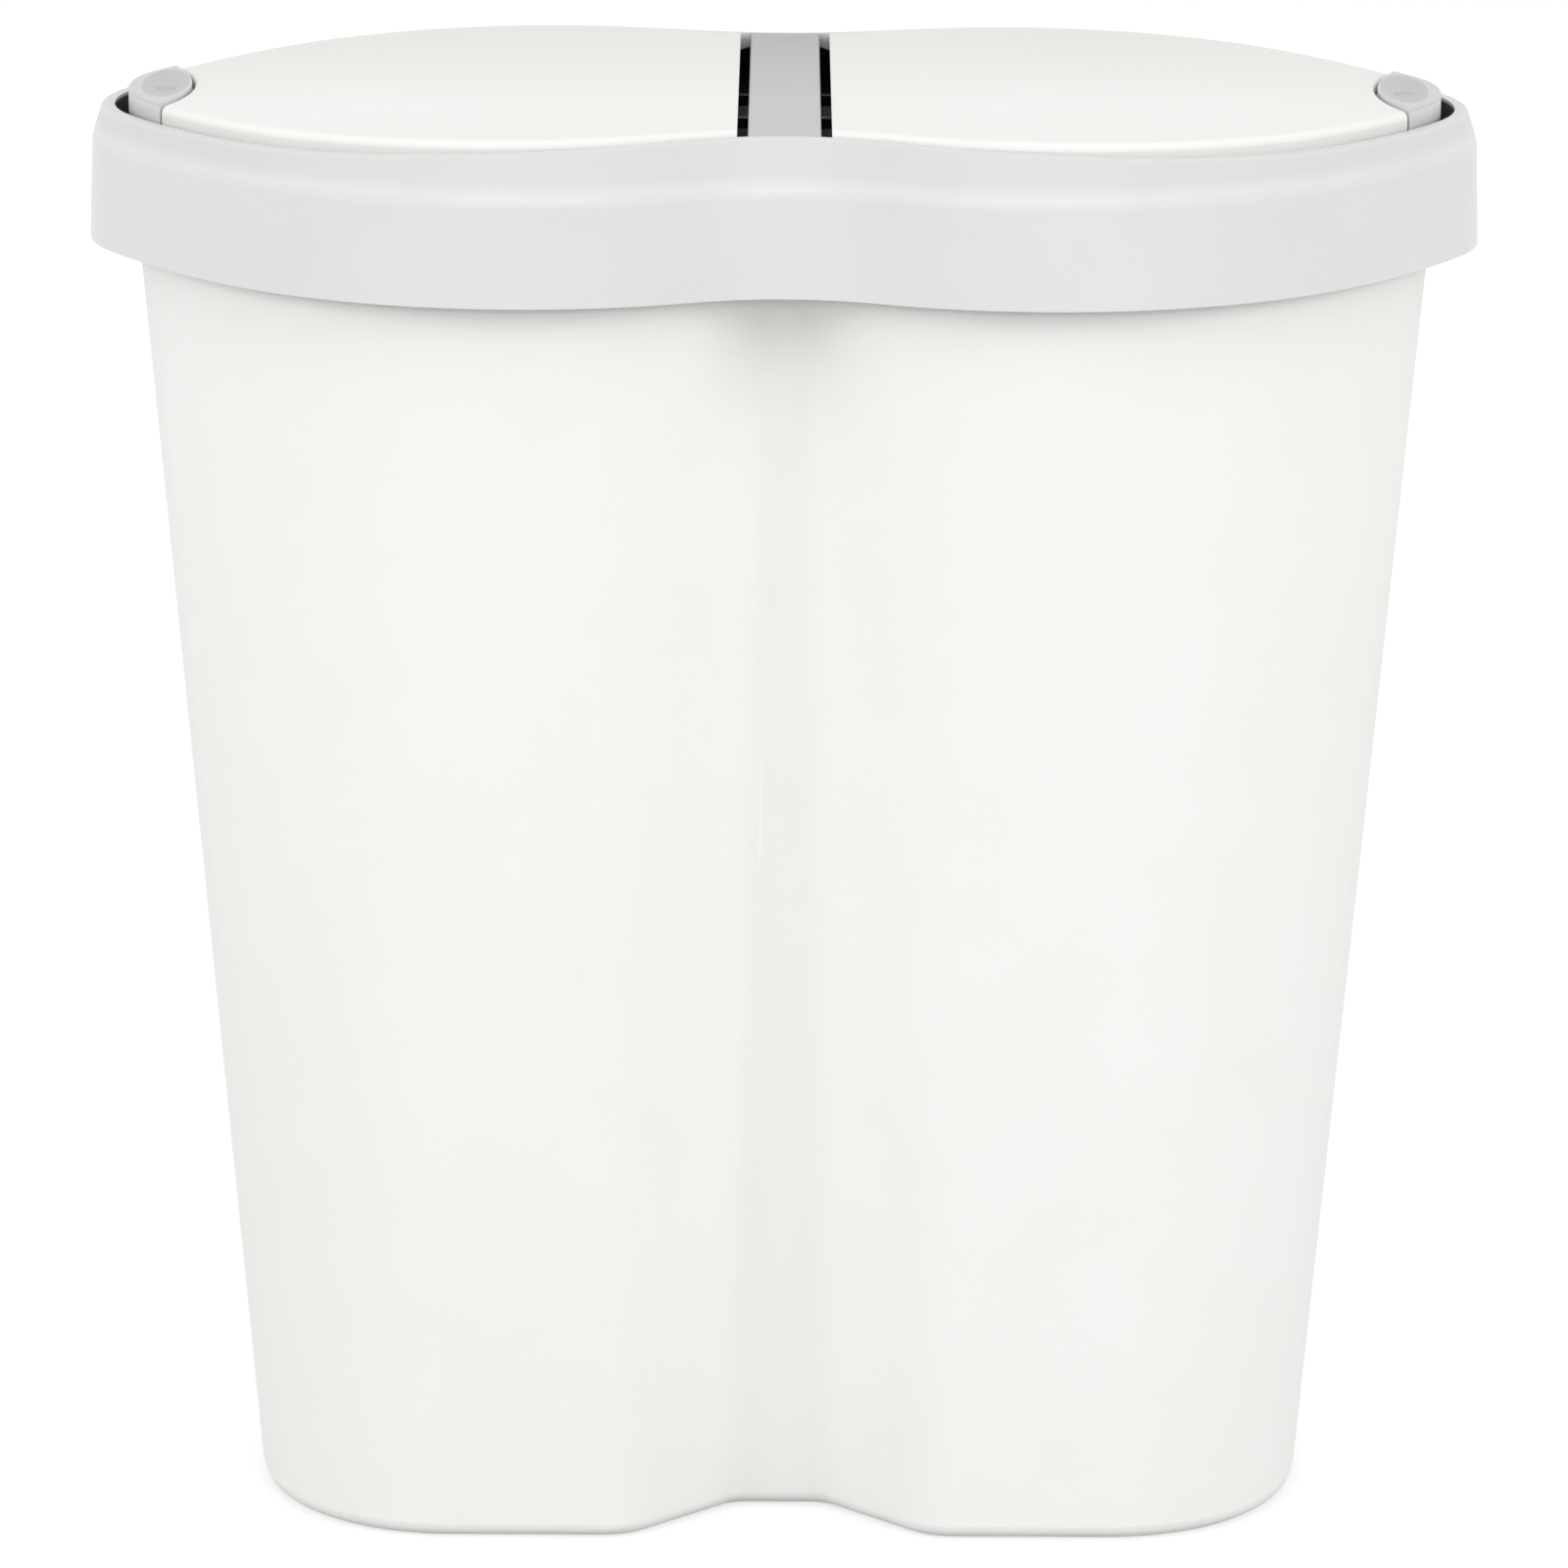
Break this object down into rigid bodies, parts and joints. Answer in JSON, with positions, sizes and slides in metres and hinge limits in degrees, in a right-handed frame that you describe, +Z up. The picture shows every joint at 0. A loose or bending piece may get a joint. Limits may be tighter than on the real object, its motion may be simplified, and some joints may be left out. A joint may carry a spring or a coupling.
{
  "type": "double recycling bin",
  "caption": "Free-standing twin-lobed waste bin with a divided tub, a lift-off rim, and push-button lids that open towards a central hinge bar.",
  "frame": {"origin": "centre of the foot's underside, on the floor", "axes": "+Z up, +X from the left lobe to the right lobe, +Y from front to back"},
  "size_m": [0.53, 0.28, 0.556],
  "materials": {
    "white_plastic": "warm white moulded polypropylene, fine satin texture",
    "light_grey_plastic": "light grey moulded polypropylene, satin",
    "grey_plastic": "mid grey moulded plastic, satin",
    "steel": "drawn steel wire and rod",
    "soft_rubber": "black soft rubber"
  },
  "bodies": {
    "tub": {"bin_tub": "white_plastic", "divider_panel": "white_plastic"},
    "rim": {"rim_frame": "light_grey_plastic", "hinge_bar": "grey_plastic", "hinge_bar_screws": "steel", "lid_buffers": "soft_rubber", "lid_hinge_rod_right": "steel", "lid_hinge_rod_left": "steel", "lid_spring_right": "steel", "lid_spring_left": "steel", "button_spring_right": "steel", "button_spring_left": "steel"},
    "lid_right": {"lid_right": "white_plastic", "lid_keeper_right": "grey_plastic"},
    "button_right": {"release_button_right": "grey_plastic", "button_pivot_pin_right": "steel"},
    "lid_left": {"lid_left": "white_plastic", "lid_keeper_left": "grey_plastic"},
    "button_left": {"release_button_left": "grey_plastic", "button_pivot_pin_left": "steel"}
  },
  "joints": [
    {"name": "rim_lift", "type": "slide", "parent": "tub", "child": "rim", "axis": [0, 0, 1], "range_m": [0, 0.06]},
    {"name": "lid_right_hinge", "type": "hinge", "parent": "rim", "child": "lid_right", "pos_m": [0.0245, 0, 0.548], "axis": [0, -1, 0], "range_deg": [0, 85], "deforming": ["lid_spring_right"]},
    {"name": "button_right_press", "type": "hinge", "parent": "rim", "child": "button_right", "pos_m": [0.24, 0, 0.545], "axis": [0, -1, 0], "range_deg": [0, 7], "stiffness_Nm_per_rad": 0.3, "springref_deg": -8.59, "deforming": ["button_spring_right"]},
    {"name": "lid_left_hinge", "type": "hinge", "parent": "rim", "child": "lid_left", "pos_m": [-0.0245, 0, 0.548], "axis": [0, 1, 0], "range_deg": [0, 85], "deforming": ["lid_spring_left"]},
    {"name": "button_left_press", "type": "hinge", "parent": "rim", "child": "button_left", "pos_m": [-0.24, 0, 0.545], "axis": [0, 1, 0], "range_deg": [0, 7], "stiffness_Nm_per_rad": 0.3, "springref_deg": -8.59, "deforming": ["button_spring_left"]}
  ]
}
